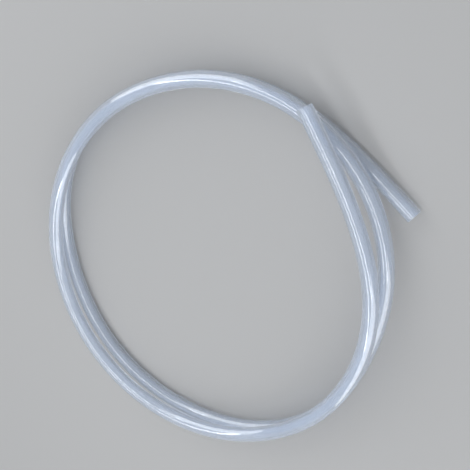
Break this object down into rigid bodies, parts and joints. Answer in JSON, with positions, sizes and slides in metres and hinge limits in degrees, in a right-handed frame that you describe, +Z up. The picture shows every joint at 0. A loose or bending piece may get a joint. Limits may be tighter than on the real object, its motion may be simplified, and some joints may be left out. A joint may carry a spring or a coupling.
{
  "type": "silicone tubing coil",
  "caption": "Loose flat-lying coil of soft translucent silicone laboratory tubing with a round bore, cut square at each end, its free ends crossing the turns.",
  "frame": {"origin": "on the surface that the coil lies on, at the middle of its outline", "axes": "+Z up out of that surface, +Y along the coil's longest side and away from the two cut ends, +X to the right"},
  "size_m": [0.203, 0.2169, 0.0246],
  "materials": {
    "silicone": "translucent, milky, smooth satin"
  },
  "bodies": {
    "root": {"silicone_tube": "silicone"}
  },
  "joints": []
}
